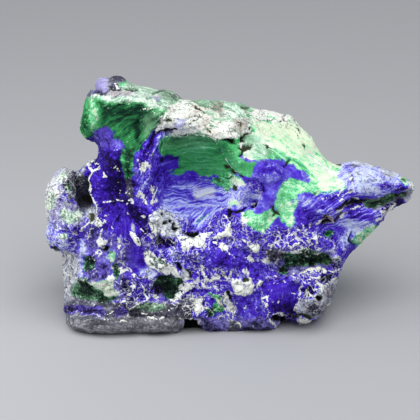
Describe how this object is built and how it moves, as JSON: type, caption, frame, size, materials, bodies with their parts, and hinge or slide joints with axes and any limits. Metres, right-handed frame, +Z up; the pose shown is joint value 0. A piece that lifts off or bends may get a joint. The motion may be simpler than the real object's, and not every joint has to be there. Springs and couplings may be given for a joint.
{
  "type": "azurite and malachite stone slice",
  "caption": "Natural broken slice of blue azurite and green malachite with a sawn flat back, standing on a flat lower edge.",
  "frame": {"origin": "middle of the bounding box at the flat base", "axes": "+X along the length towards the pointed tail, +Y towards the sawn back, +Z up"},
  "size_m": [0.0738, 0.0266, 0.0497],
  "materials": {
    "stone": "natural broken stone, dull to silky, with a honed back"
  },
  "bodies": {
    "root": {"stone": "stone"}
  },
  "joints": []
}
